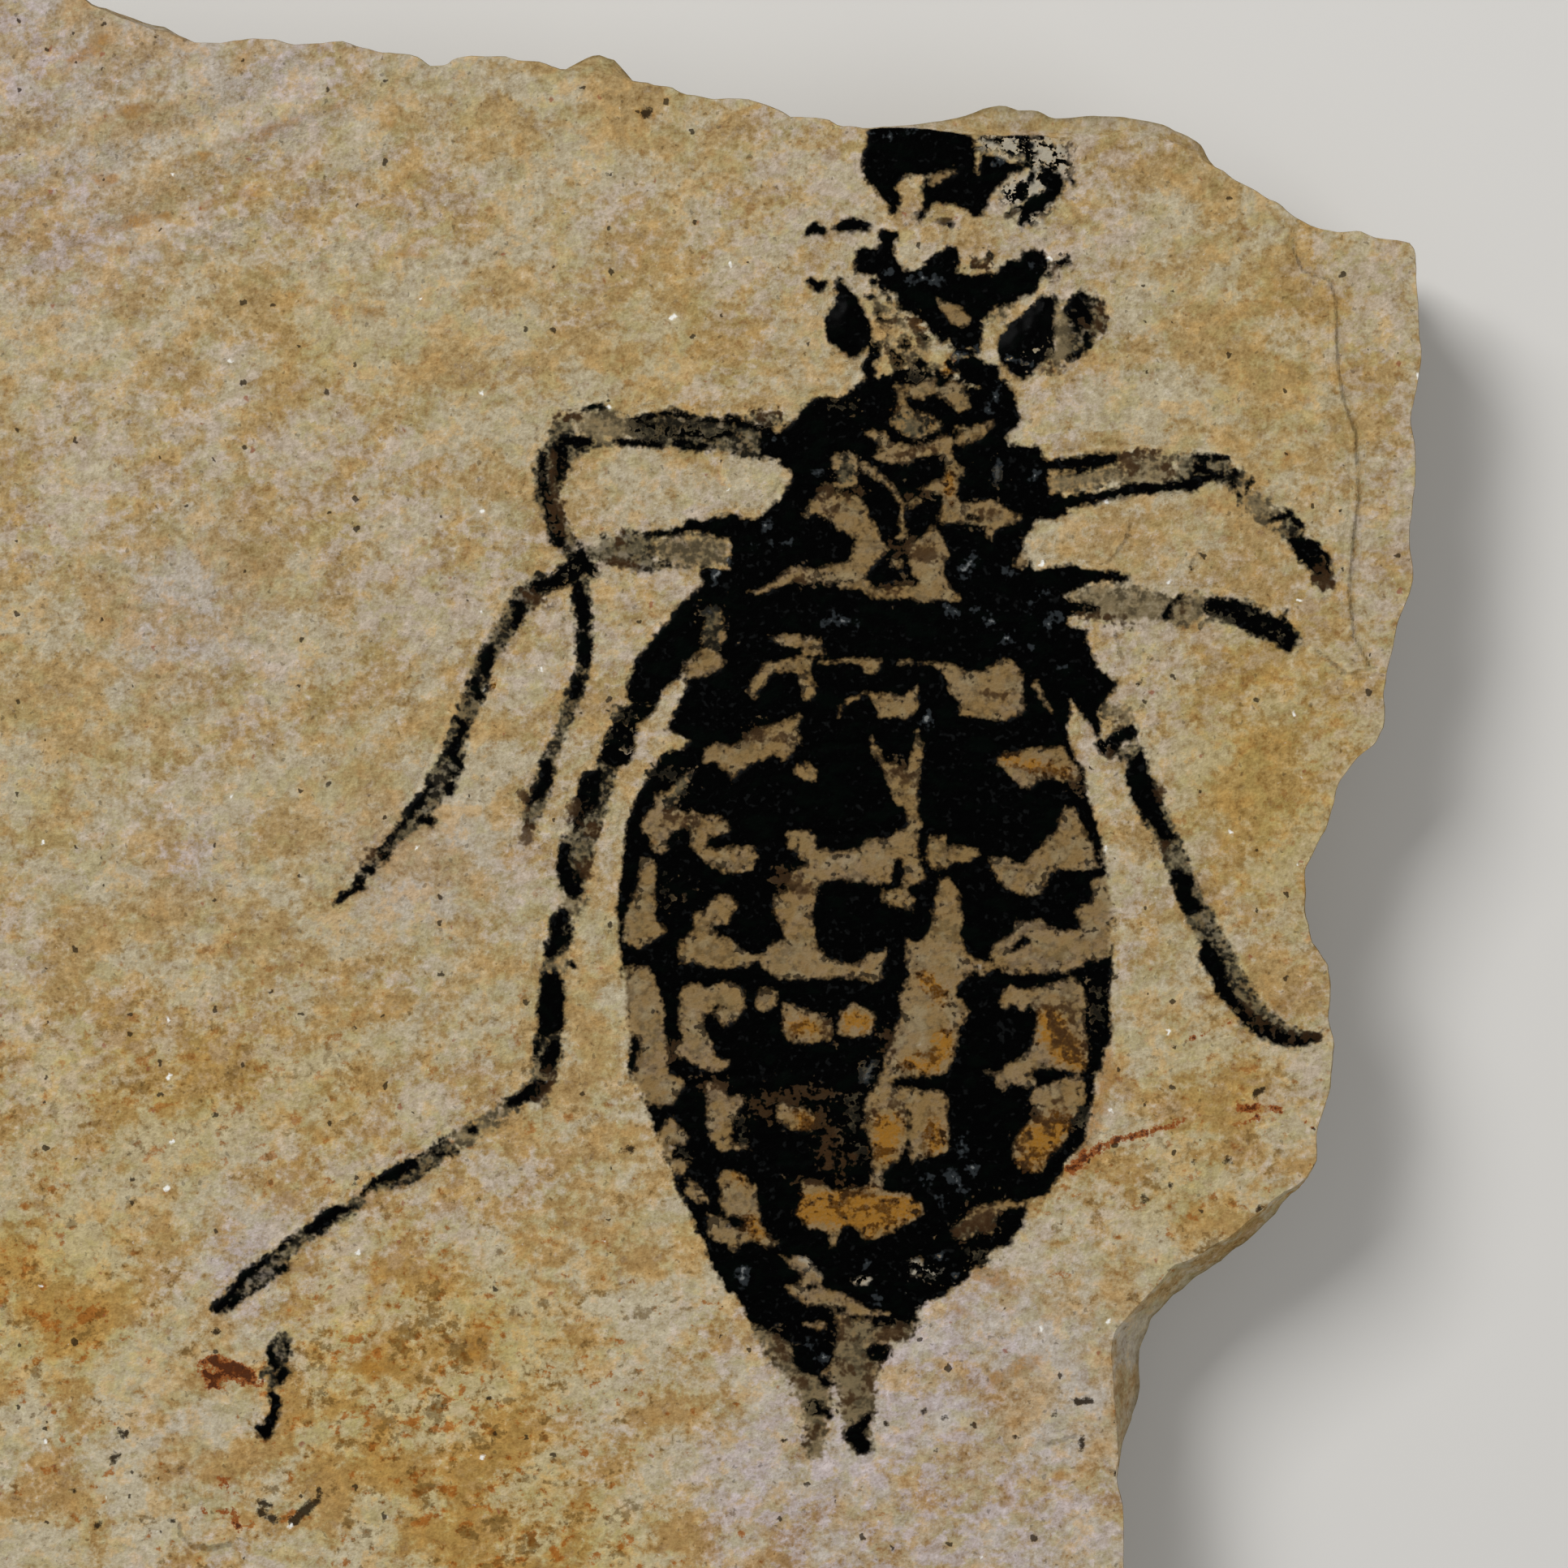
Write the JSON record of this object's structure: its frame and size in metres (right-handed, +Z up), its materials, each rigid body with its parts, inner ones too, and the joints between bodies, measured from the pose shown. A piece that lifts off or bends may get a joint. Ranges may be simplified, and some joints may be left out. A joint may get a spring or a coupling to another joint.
{
  "type": "fossil dragonfly nymph plate",
  "caption": "Broken slab of buff sedimentary stone with the flattened black carbon film of a long-legged dragonfly nymph on its top face.",
  "frame": {"origin": "centre of the plate's bounding box, on the underside it rests on", "axes": "+Z up out of the fossil face; +Y along the plate's long side, towards the nymph's head; +X to the right as the fossil face is looked at"},
  "size_m": [0.072, 0.082, 0.0081],
  "materials": {
    "stone": "dry matt buff stone with orange and grey stains",
    "film": "dull satin black carbon film, worn through in places",
    "eye_film": "smooth glossier black carbon film"
  },
  "bodies": {
    "root": {"slab": "stone", "nymph": "film", "labial_mask": "film", "hind_claw": "film", "eye_left": "eye_film", "eye_right": "eye_film"}
  },
  "joints": []
}
